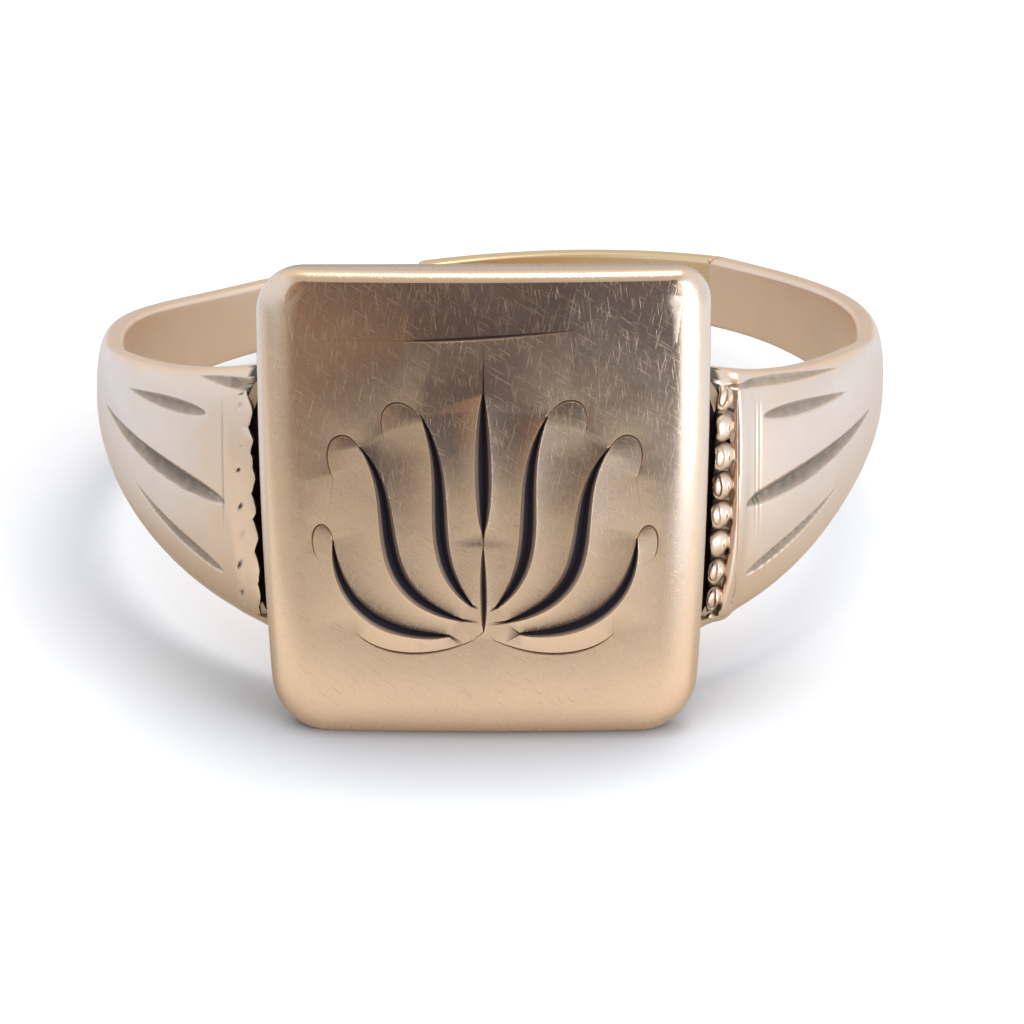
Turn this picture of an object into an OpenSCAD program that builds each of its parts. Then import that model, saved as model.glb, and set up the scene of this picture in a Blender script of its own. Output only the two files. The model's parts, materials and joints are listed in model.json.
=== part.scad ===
// Signet ring. A square signet plate is soldered on a seat between two arms
// with fluted shoulders and millgrain beading. The shank was later sized up
// with a let-in piece at the back, whose far joint stands open.
// The origin is the centre of the finger bore, +Z runs along the finger, the
// plate faces -Y, and +X is to the right as the plate is looked at.
// Angles along the shank are counted from the back of the ring, at +Y.

/* [Finger bore] */
// Inside diameter of the ring
bore_d = 18.6; // [15:0.1:23]

/* [Signet plate] */
// Width of the plate along its top edge
plate_top_w = 11.0; // [9:0.1:14]
// Width of the plate along its bottom edge
plate_bottom_w = 10.2; // [8:0.1:13]
// Height of the plate along the finger
plate_h = 11.85; // [9:0.05:15]
// Thickness of the plate
plate_t = 1.35; // [1.2:0.05:3]
// How far the plate stands above the middle of the shank
plate_lift = 0.275; // [0:0.025:1]
// Radius of the two top corners
top_corner_r = 0.9; // [0.5:0.05:2]
// Radius of the two bottom corners
bottom_corner_r = 1.3; // [0.5:0.05:2.5]
// Worn rounding between the face and the sides of the plate
face_round = 0.7; // [0.2:0.05:1]
// Rise of the face from its rounded edge to its middle
face_dome = 0.12; // [0.02:0.02:0.4]

/* [Engraving] */
// Height of the engraved sprig
sprig_h = 6.2; // [3:0.1:7]
// Width of the widest leaf cut
leaf_w = 0.42; // [0.2:0.02:0.8]
// Depth of the deepest leaf cut
leaf_depth = 0.2; // [0.05:0.01:0.4]
// Pairs of leaves on the stem
leaf_pairs = 3; // [1:1:3]

/* [Plate seat] */
// Thickness of the seat between the bore and the plate
seat_wall = 0.55; // [0.3:0.05:1.5]

/* [Arms] */
// Thickness of the shank at the back
back_wall = 0.8; // [0.5:0.05:1.5]
// Thickness of the shank at the sides
side_wall = 0.7; // [0.5:0.05:1.5]
// Thickness of the shoulders beside the plate
shoulder_wall = 1.05; // [0.8:0.05:2]
// Thickness of the flat edges of the shank
edge_wall = 0.36; // [0.2:0.02:0.45]
// Width of the shank at the back
back_w = 1.85; // [1.2:0.05:3]
// Width of the shank at the sides
side_w = 2.6; // [1.6:0.1:4]
// Width of the shoulders beside the plate
shoulder_w = 7.0; // [5:0.1:9]
// How far the back of the right arm is sprung up along the finger
right_spring = 0.37; // [0:0.01:0.5]
// How far the back of the left arm is sprung down along the finger
left_spring = 0.27; // [0:0.01:0.5]
// How far the middle of the shoulders lies below the middle of the shank
shoulder_drop = 0.3; // [0:0.02:0.5]

/* [Shoulder flutes] */
// Depth of the longest flute at its deepest
flute_depth = 0.26; // [0.1:0.02:0.4]
// Width of a flute for each millimetre of its depth
flute_spread = 1.7; // [1:0.1:2.5]

/* [Beading] */
// Number of beads in each strip
bead_count = 8; // [5:1:12]
// Distance between neighbouring beads
bead_pitch = 0.79; // [0.5:0.01:1]
// Diameter of a bead
bead_d = 0.74; // [0.5:0.02:1.2]
// Width of the strip that carries the beads
strip_w = 1.05; // [0.8:0.05:1.4]
// Thickness of the strip under the beads
strip_t = 0.3; // [0.2:0.05:0.6]

/* [Let-in piece] */
// Angle of its soldered end, to the right of the back
insert_right = 37; // [25:1:50]
// Angle of its free end, to the left of the back
insert_left = 12; // [5:1:25]
// Width of its free end
insert_free_w = 1.3; // [1:0.05:1.8]
// Gap at the open joint
open_gap = 0.15; // [0.05:0.01:0.5]
// How much of the left arm's upper edge is worn away at the open joint
end_wear = 0.26; // [0:0.02:0.4]

/* [Solder] */
// Thickness of the solder in a joint
seam = 0.06; // [0.03:0.01:0.1]
// Size of the solder fillet round the seat
fillet = 0.3; // [0.2:0.05:0.4]

/* [Hidden] */
$fn = 64;

rose_gold = [0.83, 0.68, 0.58];
yellow_gold = [0.86, 0.70, 0.36];
solder_gold = [0.80, 0.72, 0.58];

bore_r = bore_d / 2;
// The seat ends under the plate, and the arms begin past a seam of solder.
seat_half = plate_bottom_w / 2;
arm_x = seat_half + seam;
strip_x = arm_x + strip_w;
plate_back = bore_r + seat_wall;
seat_front = plate_back - seam;
// Angles where the shoulders widen and where they meet the plate
flare_from = 95;
shoulder_at = 180 - asin(arm_x / (bore_r + shoulder_wall));
arm_end = shoulder_at + 4;
seat_top = shoulder_w / 2 - shoulder_drop - 0.25;
seat_bottom = -shoulder_w / 2 - shoulder_drop + 0.25;
// The strip lies in a notch cut square across the end of the shoulder.
notch_floor = sqrt(pow(bore_r + shoulder_wall, 2) - pow(strip_x, 2)) - 0.05;
strip_mid = -shoulder_drop + 0.18;
strip_len = bead_count * bead_pitch + 0.1;
// Angle that the solder of the let-in piece takes up
insert_seam = asin(seam / bore_r);
far = 30;

function mix(a, b, t) = a + (b - a) * t;
function ease(t) = let (u = min(max(t, 0), 1)) u * u * (3 - 2 * u);
// A ramp that starts gently and then climbs in a straight line
function flare(t) = let (u = max(t, 0)) u * u * 1.12 / (u + 0.12);
function on_ring(r, a, z) = [r * sin(a), r * cos(a), z];
function spread(n) = [for (i = [0 : n]) i / n];
function flat(lists) = [for (l = lists) each l];

// Half width, middle and thickness of an arm at angle a from the back.
// back_mid and side_mid say how far that arm is sprung along the finger.
function arm_half(a) =
    mix(back_w, side_w, ease((a - 40) / 50)) / 2
    + (shoulder_w - side_w) / 2
      * flare((a - flare_from) / (shoulder_at - flare_from));
function arm_mid(a, back_mid, side_mid) =
    mix(mix(back_mid, side_mid, ease((a - 45) / 50)), -shoulder_drop,
        ease((a - 102) / 38));
function arm_wall(a) =
    mix(mix(back_wall, side_wall, ease(a / 80)), shoulder_wall,
        ease((a - 95) / 50));
// Crown of the shank: u runs from -1 at the lower edge to 1 at the upper one.
function crown_r(wall, u) =
    bore_r + edge_wall
    + (wall - edge_wall) * pow(max(1 - pow(abs(u), 2.4), 0), 1 / 2.4);
function arm_r(a, z, back_mid, side_mid) =
    crown_r(arm_wall(a), (z - arm_mid(a, back_mid, side_mid)) / arm_half(a));

// One cross section: up the crown from the lower edge, and back inside the
// bore, where the bore's own cylinder trims it.
crown_steps = 16;
inner_r = bore_r - 0.3;
function section(a, half, mid, wall) = concat(
    [for (k = [0 : crown_steps])
        let (u = -cos(180 * k / crown_steps))
        on_ring(crown_r(wall, u), a, mid + half * u)],
    [on_ring(inner_r, a, mid + half), on_ring(inner_r, a, mid - half)]);

// Solid through a row of equal rings of points, closed at both ends.
module sweep(rings) {
    n = len(rings[0]);
    m = len(rings);
    polyhedron(
        points = flat(rings),
        faces = concat(
            [[for (i = [0 : n - 1]) i]],
            [for (j = [0 : m - 2], i = [0 : n - 1])
                each let (p = j * n + i, q = j * n + (i + 1) % n)
                    [[p, p + n, q + n], [p, q + n, q]]],
            [[for (i = [n - 1 : -1 : 0]) (m - 1) * n + i]]),
        convexity = 8);
}

module bore() {
    translate([0, 0, -far / 2]) cylinder(h = far, r = bore_r, $fn = 180);
}

// Quarter spaces that end a swept piece square at angle a. A piece is swept a
// little long, ended by these, and only then bored.
spare = 3;
module before(a) {
    rotate([0, 0, -a]) translate([-far, 0, -far / 2]) cube(far);
}
module after(a) {
    rotate([0, 0, -a]) translate([0, 0, -far / 2]) cube(far);
}

// A flute is one stroke of a square graver along the crown. It runs from
// [a, z] beside the plate to [a, z] towards the back, and fades at its ends.
function flute_list() = [
    [[138, 1.62], [119, 1.25], 0.62],
    [[142, -0.5], [109, 0.35], 1.00],
    [[141, -2.35], [120, -0.9], 0.72]];
flute_steps = 12;
flute_lift = 0.12;
module flute(from, to, scale_by, back_mid, side_mid) {
    along = [to[0] - from[0], to[1] - from[1]];
    mm_per_deg = PI * (bore_r + side_wall) / 180;
    run = norm([along[0] * mm_per_deg, along[1]]);
    // Unit step across the stroke, in degrees and millimetres
    across = [-along[1] / run / mm_per_deg, along[0] * mm_per_deg / run];
    sweep([for (t = spread(flute_steps))
        let (a = from[0] + along[0] * t, z = from[1] + along[1] * t,
             swell = pow(sin(180 * pow(t, 0.62)), 0.8),
             deep = flute_depth * scale_by * (swell + 0.02) - 0.01,
             half = (deep + flute_lift) * flute_spread / 2 * 1.02,
             r = arm_r(a, z, back_mid, side_mid))
        [on_ring(r - deep, a, z),
         on_ring(r + flute_lift, a - across[0] * half, z - across[1] * half),
         on_ring(r + flute_lift, a + across[0] * half, z + across[1] * half)]]);
}

// One arm with its shoulder, as seen on the right; the left one is mirrored.
// Its upper edge may be worn down over the last 10 degrees of its end.
module arm(start, back_mid, side_mid, wear) {
    function worn(a) = wear * ease((start + 10 - a) / 10) / 2;
    back_steps = 18;
    shoulder_steps = 26;
    angles = concat(
        [for (t = spread(back_steps)) mix(start - spare, 92, t)],
        [for (i = [1 : shoulder_steps]) mix(92, arm_end, i / shoulder_steps)]);
    difference() {
        difference() {
            sweep([for (a = angles)
                section(a, arm_half(a) - worn(a),
                        arm_mid(a, back_mid, side_mid) - worn(a), arm_wall(a))]);
            for (f = flute_list()) flute(f[0], f[1], f[2], back_mid, side_mid);
            before(start);
            // Square end against the seat
            translate([-far, -far, -far / 2]) cube([far + arm_x, far, far]);
            // Notch for the beaded strip
            translate([arm_x - 1, -far - notch_floor, -far / 2])
                cube([strip_w + 1, far, far]);
        }
        bore();
    }
}

module right_arm() {
    color(rose_gold) arm(insert_right + insert_seam, right_spring,
                         right_spring, 0);
}

module left_arm() {
    color(rose_gold) mirror([1, 0, 0])
        arm(insert_left + asin(open_gap / bore_r), -left_spring, 0.1,
            end_wear);
}

// Yellower piece let into the back of the shank, narrower at its free end
function insert_half(a) =
    mix(insert_free_w / 2, arm_half(insert_right), (a + insert_left)
        / (insert_left + insert_right));
function insert_mid(a) =
    mix(-0.04, right_spring, (a + insert_left) / (insert_left + insert_right));
module insert_sweep(from, to, steps) {
    sweep([for (t = spread(steps))
        let (a = mix(from - spare, to + spare, t))
        section(a, insert_half(a), insert_mid(a), arm_wall(abs(a)))]);
}
module shank_insert() {
    color(yellow_gold) difference() {
        difference() {
            insert_sweep(-insert_left, insert_right, 16);
            before(-insert_left);
            after(insert_right);
        }
        bore();
    }
}

module insert_solder() {
    color(solder_gold) difference() {
        difference() {
            insert_sweep(insert_right, insert_right + insert_seam, 2);
            before(insert_right);
            after(insert_right + insert_seam);
        }
        bore();
    }
}

// Seat: the bridge that closes the bore under the plate
module seat_block(x0, x1, front) {
    translate([x0, -front, seat_bottom])
        cube([x1 - x0, front, seat_top - seat_bottom]);
}

module plate_seat() {
    color(rose_gold) difference() {
        seat_block(-seat_half, seat_half, seat_front);
        bore();
    }
}

// Film of solder between the end of the seat and the end of an arm
module seat_solder() {
    difference() {
        seat_block(seat_half, arm_x, notch_floor);
        bore();
    }
}
module right_seat_solder() { color(solder_gold) seat_solder(); }
module left_seat_solder() {
    color(solder_gold) mirror([1, 0, 0]) seat_solder();
}

// Solder between the seat and the plate, with a fillet above and below the
// seat: a block with its outer edges hollowed by a round of the fillet's radius
module plate_solder() {
    seat_h = seat_top - seat_bottom;
    color(solder_gold) difference() {
        translate([-seat_half, -plate_back, seat_bottom - fillet])
            cube([2 * seat_half, seam + fillet, seat_h + 2 * fillet]);
        translate([-seat_half - 1, -seat_front, seat_bottom])
            cube([2 * seat_half + 2, far, seat_h]);
        for (z = [seat_bottom - fillet, seat_top + fillet])
            translate([-far / 2, fillet - seat_front, z]) rotate([0, 90, 0])
                cylinder(h = far, r = fillet, $fn = 48);
    }
}

// Beaded strip: a milled wire of round beads on a flat base
module beading() {
    front = notch_floor + seam + strip_t;
    translate([arm_x, -front, strip_mid - strip_len / 2])
        cube([strip_w, strip_t, strip_len]);
    for (i = [0 : bead_count - 1])
        translate([strip_x - bead_d / 2, -front,
                   strip_mid + (i - (bead_count - 1) / 2) * bead_pitch])
            sphere(d = bead_d, $fn = 32);
}
module right_beading() { color(rose_gold) beading(); }
module left_beading() { color(rose_gold) mirror([1, 0, 0]) beading(); }

module beading_solder() {
    translate([arm_x, -notch_floor - seam, strip_mid - strip_len / 2])
        cube([strip_w, seam, strip_len]);
}
module right_beading_solder() { color(solder_gold) beading_solder(); }
module left_beading_solder() {
    color(solder_gold) mirror([1, 0, 0]) beading_solder();
}

// Outline of the plate, drawn in by a distance all round. Each corner is an
// arc, and the two sides lean in towards the bottom.
corner_steps = 8;
function corner(x, z, r, from, inset) =
    let (rr = max(r - inset, 0.05))
    [for (t = spread(corner_steps))
        let (a = from + 90 * t)
        [x + rr * cos(a), z + rr * sin(a)]];
function outline(inset) =
    let (top = plate_h / 2, low = -plate_h / 2,
         keep_top = max(top_corner_r, inset + 0.05),
         keep_low = max(bottom_corner_r, inset + 0.05),
         xt = plate_top_w / 2, xb = plate_bottom_w / 2)
    concat(
        corner(xt - keep_top, top - keep_top, keep_top, 0, inset),
        corner(-xt + keep_top, top - keep_top, keep_top, 90, inset),
        corner(-xb + keep_low, low + keep_low, keep_low, 180, inset),
        corner(xb - keep_low, low + keep_low, keep_low, 270, inset));
function plate_ring(inset, y, shrink) =
    [for (p = outline(inset)) [p[0] * shrink, y, p[1] * shrink + plate_lift]];

module plate_blank() {
    face_y = plate_back + plate_t - face_dome;
    sweep(concat(
        [plate_ring(0.15, -plate_back, 1), plate_ring(0, -plate_back - 0.15, 1)],
        [for (t = spread(6))
            plate_ring(face_round * (1 - cos(90 * t)),
                       -face_y + face_round * (1 - sin(90 * t)), 1)],
        [for (s = [0.75, 0.5, 0.25, 0.02])
            plate_ring(face_round, -face_y - face_dome * (1 - s * s), s)]));
}

// A leaf is one curved stroke of a graver, swelling from a point and fading
// out again. Its V leaves the face at its two edges.
leaf_steps = 10;
leaf_lift = 0.12;
function bend(c, t) =
    c[0] * pow(1 - t, 3) + 3 * c[1] * t * pow(1 - t, 2)
    + 3 * c[2] * t * t * (1 - t) + c[3] * t * t * t;
function face_front(x, z) =
    let (s = max(abs(x) / (plate_top_w / 2 - face_round),
                 abs(z - plate_lift) / (plate_h / 2 - face_round)))
    plate_back + plate_t - face_dome * s * s;
module leaf_cut(c, scale_by) {
    sweep([for (t = spread(leaf_steps))
        let (p = bend(c, t), run = bend(c, t + 0.01) - bend(c, t - 0.01),
             side = [-run[1], run[0]] / norm(run),
             swell = pow(sin(180 * pow(t, 0.8)), 0.7),
             deep = leaf_depth * scale_by * (swell + 0.02) - 0.01,
             half = (deep + leaf_lift) * leaf_w / leaf_depth / 2,
             front = face_front(p[0], p[1]))
        [[p[0], deep - front, p[1]],
         [p[0] + side[0] * half, -front - leaf_lift, p[1] + side[1] * half],
         [p[0] - side[0] * half, -front - leaf_lift, p[1] - side[1] * half]]]);
}

// Right half of a sprig that is 1 mm high. Each leaf is a cubic curve of four
// [x, z] points, followed by its depth as a share of leaf_depth.
leaves = [
    [[0.05, 0.12], [0.27, 0.34], [0.10, 0.60], [0.25, 0.90], 0.95],
    [[0.09, 0.06], [0.52, 0.19], [0.29, 0.52], [0.49, 0.77], 1.00],
    [[0.14, 0.01], [0.42, 0.00], [0.59, 0.14], [0.60, 0.40], 0.80]];
stem = [[0, 0.02], [0, 0.14], [0, 0.26], [0, 0.38], 0.40];
bud = [[0, 0.43], [0, 0.62], [0, 0.81], [0, 1.00], 1.00];

// A sprig of paired leaves on a stem, engraved in the middle of the face
module sprig() {
    foot = plate_lift - 0.1 - sprig_h / 2;
    function placed(leaf, side) =
        [for (i = [0 : 3]) [side * leaf[i][0] * sprig_h, foot + leaf[i][1] * sprig_h]];
    leaf_cut(placed(stem, 1), stem[4]);
    leaf_cut(placed(bud, 1), bud[4]);
    for (i = [0 : leaf_pairs - 1], side = [-1, 1])
        leaf_cut(placed(leaves[i], side), leaves[i][4]);
}

module signet_plate() {
    color(rose_gold) difference() {
        plate_blank();
        sprig();
    }
}

signet_plate();
plate_seat();
right_arm();
left_arm();
shank_insert();
right_beading();
left_beading();
plate_solder();
right_seat_solder();
left_seat_solder();
right_beading_solder();
left_beading_solder();
insert_solder();
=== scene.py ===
"""A worn rose gold signet ring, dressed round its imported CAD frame."""
import json
import math

import bpy
import numpy as np
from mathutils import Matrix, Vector, noise
from mathutils.geometry import delaunay_2d_cdt


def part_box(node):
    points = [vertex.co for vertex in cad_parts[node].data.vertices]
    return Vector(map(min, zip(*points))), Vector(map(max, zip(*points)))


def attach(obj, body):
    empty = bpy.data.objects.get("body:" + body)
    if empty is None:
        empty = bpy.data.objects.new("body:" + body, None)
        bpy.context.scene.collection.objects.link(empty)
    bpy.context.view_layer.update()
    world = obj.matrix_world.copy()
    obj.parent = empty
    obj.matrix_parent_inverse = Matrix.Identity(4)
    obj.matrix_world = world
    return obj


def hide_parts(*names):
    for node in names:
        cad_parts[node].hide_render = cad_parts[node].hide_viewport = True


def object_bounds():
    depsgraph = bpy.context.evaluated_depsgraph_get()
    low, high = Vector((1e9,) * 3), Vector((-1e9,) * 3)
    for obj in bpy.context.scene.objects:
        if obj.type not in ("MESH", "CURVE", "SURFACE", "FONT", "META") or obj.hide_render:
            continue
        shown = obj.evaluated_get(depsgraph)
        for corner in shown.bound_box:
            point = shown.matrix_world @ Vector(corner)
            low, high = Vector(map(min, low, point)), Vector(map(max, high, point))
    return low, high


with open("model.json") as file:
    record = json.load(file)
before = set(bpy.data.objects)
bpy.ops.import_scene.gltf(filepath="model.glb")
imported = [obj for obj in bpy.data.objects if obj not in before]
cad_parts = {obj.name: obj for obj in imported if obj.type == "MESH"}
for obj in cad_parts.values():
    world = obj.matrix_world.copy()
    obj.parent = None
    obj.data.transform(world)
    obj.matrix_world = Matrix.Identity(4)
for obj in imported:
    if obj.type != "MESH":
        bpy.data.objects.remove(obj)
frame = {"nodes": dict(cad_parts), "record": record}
cad_low, cad_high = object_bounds()


# ---------------------------------------------------------------- the two arms
# Each arm is half of the shank: a strip of 9 carat rose gold forged to a low
# crown, spread into a shoulder beside the plate, and cut with a graver into a
# fan of flutes. Years of wear have softened every edge.
MM = 0.001
bore_r = frame["record"]["mounts"][0]["dims"]["r_mm"]
# Walls and widths of the shank at its back, its sides and its shoulders
edge_wall, edge_soft = 0.36, 0.13
back_wall, side_wall, shoulder_wall = 0.8, 0.7, 1.05
back_w, side_w, shoulder_w = 1.85, 2.6, 7.0
# How far its halves are sprung up or down, and worn at the open joint
right_spring, left_spring, left_side_rise = 0.37, 0.27, 0.1
shoulder_drop = 0.3
end_wear = 0.26
# Where the arms end beside the seat, and where the beaded strips end
arm_x = 5.16
strip_x = 6.21
flare_from = 95
shoulder_at = 180 - math.degrees(math.asin(arm_x / (bore_r + shoulder_wall)))
# The let-in piece in degrees from the back, and the gaps at its two ends
insert_right, insert_left, open_gap, seam = 37, 12, 0.15, 0.06
slot_edge, slot_top = 5.7, 3.1
notch_floor = math.sqrt((bore_r + shoulder_wall) ** 2 - strip_x ** 2) - 0.05
strip_low, strip_high = -3.32, 2.76
mm_per_deg = math.pi * (bore_r + side_wall) / 180


def mix(a, b, t):
    return a + (b - a) * t


def ease(t):
    u = np.clip(t, 0, 1)
    return u * u * (3 - 2 * u)


def flare(t):
    u = np.maximum(t, 0)
    return u * u * 1.12 / (u + 0.12)


def arm_half(a):
    spread = flare((a - flare_from) / (shoulder_at - flare_from))
    return mix(back_w, side_w, ease((a - 40) / 50)) / 2 + (shoulder_w - side_w) / 2 * spread


def arm_mid(a, back_mid, side_mid):
    shank = mix(back_mid, side_mid, ease((a - 45) / 50))
    return mix(shank, -shoulder_drop, ease((a - 102) / 38))


def arm_wall(a):
    shank = mix(back_wall, side_wall, ease(a / 80))
    return mix(shank, shoulder_wall, ease((a - 95) / 50))


def crown(wall, u):
    """Outer radius of the shank where u runs from -1 to 1 across its width."""
    rise = np.maximum(1 - np.abs(u) ** 2.4, 0) ** (1 / 2.4)
    return bore_r + edge_wall + (wall - edge_wall) * rise


def rough(points, size, seed):
    """Smooth noise between -1 and 1 over features of the given size in mm."""
    flat = points.reshape(-1, 3)
    shift = Vector((seed * 17.3, seed * 5.1, seed * 9.7))
    out = [noise.noise(Vector(p) / size + shift) for p in flat]
    return np.array(out).reshape(points.shape[:-1])


def stroke_shape(t, d, half_w, deep):
    """Depth of one graver cut at share t of its length and d mm off its middle."""
    swell = np.sin(np.pi * np.clip(t, 0, 1) ** 0.62) ** 0.8
    w = np.maximum(half_w * swell, 1e-6)
    side = np.clip(1 - np.sqrt((d / w + 0.18) ** 2 + 0.012), 0, 1)
    inside = (t > 0) & (t < 1)
    return np.where(inside, deep * swell * side, 0)


# Flutes as [angle, height] beside the plate and towards the back, width, depth
shared_flutes = [((138, 1.62), (117, 1.36), 0.38, 0.13),
                 ((142, -0.50), (106.5, 0.46), 0.54, 0.24),
                 ((141, -2.35), (120, -0.90), 0.30, 0.16)]
right_flutes = shared_flutes + [((144, 2.55), (117.5, 2.00), 0.26, 0.11)]
left_flutes = shared_flutes + [((149.5, 2.58), (134.5, 2.42), 0.34, 0.10)]


def flute_relief(a, z, flutes):
    """Depth of all the flutes at angle a round the ring and height z."""
    cut = np.zeros_like(z)
    for (a0, z0), (a1, z1), width, deep in flutes:
        run_x, run_z = (a1 - a0) * mm_per_deg, z1 - z0
        run = math.hypot(run_x, run_z)
        off_x, off_z = (a - a0) * mm_per_deg, z - z0
        t = (off_x * run_x + off_z * run_z) / run ** 2
        d = (off_z * run_x - off_x * run_z) / run
        cut = np.maximum(cut, stroke_shape(t, d, width / 2, deep))
    return cut


def band_faces(rows, count):
    """The faces between closed loops of points that follow one another."""
    faces = []
    for j in range(rows - 1):
        for i in range(count):
            p, q = j * count + i, j * count + (i + 1) % count
            faces.append((p, q, q + count, p + count))
    return faces


def closed_mesh(name, loops, masks=None):
    """A closed skin over equal loops of points in mm, with flat ends."""
    rows, count = loops.shape[:2]
    verts = (loops.reshape(-1, 3) * MM).tolist()
    faces = [list(range(count))[::-1], [(rows - 1) * count + i for i in range(count)]]
    faces += band_faces(rows, count)
    mesh = bpy.data.meshes.new(name)
    mesh.from_pydata(verts, [], faces)
    return finish_mesh(name, mesh, masks)


def finish_mesh(name, mesh, masks, crease=38):
    """Puts a mesh in the scene, shades it, and stores its masks for the materials."""
    for label, values in (masks or {}).items():
        layer = mesh.attributes.new(label, "FLOAT", "POINT")
        layer.data.foreach_set("value", np.asarray(values, dtype=np.float32).ravel())
    mesh.validate()
    fix_winding(mesh)
    mesh.polygons.foreach_set("use_smooth", [True] * len(mesh.polygons))
    mesh.set_sharp_from_angle(angle=math.radians(crease))
    piece = bpy.data.objects.new(name, mesh)
    bpy.context.collection.objects.link(piece)
    return piece


def fix_winding(mesh):
    """Turns the faces outwards if the skin encloses a negative volume."""
    mesh.calc_loop_triangles()
    tris = np.zeros(len(mesh.loop_triangles) * 3, dtype=np.int64)
    mesh.loop_triangles.foreach_get("vertices", tris)
    co = np.zeros(len(mesh.vertices) * 3)
    mesh.vertices.foreach_get("co", co)
    p = co.reshape(-1, 3)[tris.reshape(-1, 3)]
    volume = np.einsum("ij,ij->i", p[:, 0], np.cross(p[:, 1], p[:, 2])).sum()
    if volume < 0:
        mesh.flip_normals()


def shank_loops(angles, half, mid, wall, across, relief):
    """Loops of points round the shank's section at each angle.

    They run up the crown, over the flat upper edge, down the bore and back.
    """
    u = -np.cos(np.linspace(0, np.pi, across))
    a = np.asarray(angles)[:, None]
    r = crown(wall[:, None], u[None, :])
    z = mid[:, None] + half[:, None] * u[None, :]
    r, recess = relief(a + 0 * z, z, r)
    turn = np.linspace(0, np.pi / 2, 5)
    side_r = np.concatenate([bore_r + mix(edge_wall, edge_soft, np.array([0.33, 0.66])),
                             bore_r + edge_soft * (1 - np.sin(turn))])
    side_z = np.concatenate([[0, 0], -edge_soft * (1 - np.cos(turn))])
    inner = np.linspace(1, -1, 13)[1:-1]
    in_z = mid[:, None] + (half[:, None] - edge_soft) * inner[None, :]
    top_z = mid[:, None] + half[:, None] + side_z[None, :]
    low_z = mid[:, None] - half[:, None] - side_z[None, ::-1]
    ones = np.ones_like(mid)[:, None]
    radius = np.concatenate([r, ones * side_r, ones * bore_r + 0 * in_z, ones * side_r[::-1]], 1)
    height = np.concatenate([z, top_z, in_z, low_z], 1)
    rad = np.radians(a)
    loops = np.stack([radius * np.sin(rad), radius * np.cos(rad), height], -1)
    masks = np.concatenate([recess, np.zeros((len(mid), radius.shape[1] - across))], 1)
    return loops, masks


def ridge_line(z):
    """Where the rubbed ridge beside the beads stands, in mm from the middle."""
    return 6.31 - 0.33 * ((z - 0.9) / 3.9) ** 2


def wear_marks(x, y, z, seed):
    """How far wear and small dents move a surface, in mm."""
    points = np.stack([x, y, z], -1)
    return 0.018 * rough(points, 2.6, seed) + 0.007 * rough(points, 0.7, seed + 1)


def ridge(x, z, high):
    """Height of that ridge over the plain shoulder."""
    return high * np.exp(-((x - ridge_line(z)) / 0.19) ** 2)


def arm_relief(flutes, lines, high, seed):
    """The carved and worn outer surface of one arm."""
    def relief(a, z, r):
        rad = np.radians(a)
        shoulder = a > 110
        cut = flute_relief(a, z, flutes)
        x = r * np.sin(rad)
        fine = sum(np.exp(-((x - place) / 0.025) ** 2) for place in lines) * shoulder
        fine = fine * ease((z + 1.6) / 1.2) * ease((2.3 - z) / 0.8)
        plain = r - cut - 0.02 * fine + wear_marks(x, r * np.cos(rad), z, seed)
        out = plain
        for _ in range(3):
            out = plain + ridge(out * np.sin(rad), z, high) * shoulder
        x = out * np.sin(rad)
        floor = notch_floor / np.maximum(-np.cos(rad), 0.2)
        in_notch = ((x < strip_x - seam / 2) & shoulder & (out > floor)
                    & (z > strip_low) & (z < strip_high))
        out = np.where(in_notch, np.minimum(out, floor), out)
        points = np.stack([x, r * np.cos(rad), z], -1)
        # The flutes and the file lines are darkened inside: painted shade, with the grime they
        # hold
        mottle = 0.88 + 0.16 * rough(points, 0.22, seed + 3)
        inside = ease(cut / 0.03) * (0.50 + 0.34 * np.clip(cut / 0.2, 0, 1)) * mottle
        # Painted shade, with some grime, darkens the notch and the slot beside the plate fully
        in_slot = (x < slot_edge) & shoulder & (z > strip_low) & (z < slot_top)
        recess = inside + 0.3 * fine + 1.0 * (in_notch | in_slot)
        return out, np.clip(recess, 0, 1)
    return relief


def arm_angles(start):
    """Steps along an arm, close together over the flutes and at the notch."""
    notch_at = 180 - math.degrees(math.asin(strip_x / (bore_r + shoulder_wall)))
    end = shoulder_at + 4
    return np.concatenate([[start, start + 0.4],
                           np.linspace(start + 1, 104, 70)[:-1],
                           np.linspace(104, notch_at - 0.35, 290),
                           np.linspace(notch_at - 0.2, notch_at + 0.2, 9),
                           np.linspace(notch_at + 0.4, end, 14)])


def make_arm(name, start, back_mid, side_mid, wear, relief, sign):
    """One arm from its end at the back to its end beside the seat."""
    angles = arm_angles(start)
    worn = wear * ease((start + 10 - angles) / 10) / 2
    half, mid = arm_half(angles) - worn, arm_mid(angles, back_mid, side_mid) - worn
    half[0] -= 0.05
    wall = arm_wall(angles)
    loops, recess = shank_loops(angles, half, mid, wall, 210, relief)
    # The end beside the seat is filed flat, square across the ring.
    loops[..., 0] = np.maximum(loops[..., 0], arm_x * (angles[:, None] > 100))
    loops[..., 0] *= sign
    return closed_mesh(name, loops, {"recess": recess})


right_ridge, left_ridge = 0.16, 0.02
right_arm = make_arm("right_arm_worn", insert_right + math.degrees(seam / bore_r),
                     right_spring, right_spring, 0,
                     arm_relief(right_flutes, (6.66, 6.76), right_ridge, 1), 1)
left_arm = make_arm("left_arm_worn", insert_left + math.degrees(open_gap / bore_r),
                    -left_spring, left_side_rise, end_wear,
                    arm_relief(left_flutes, (6.41,), left_ridge, 5), -1)


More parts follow.
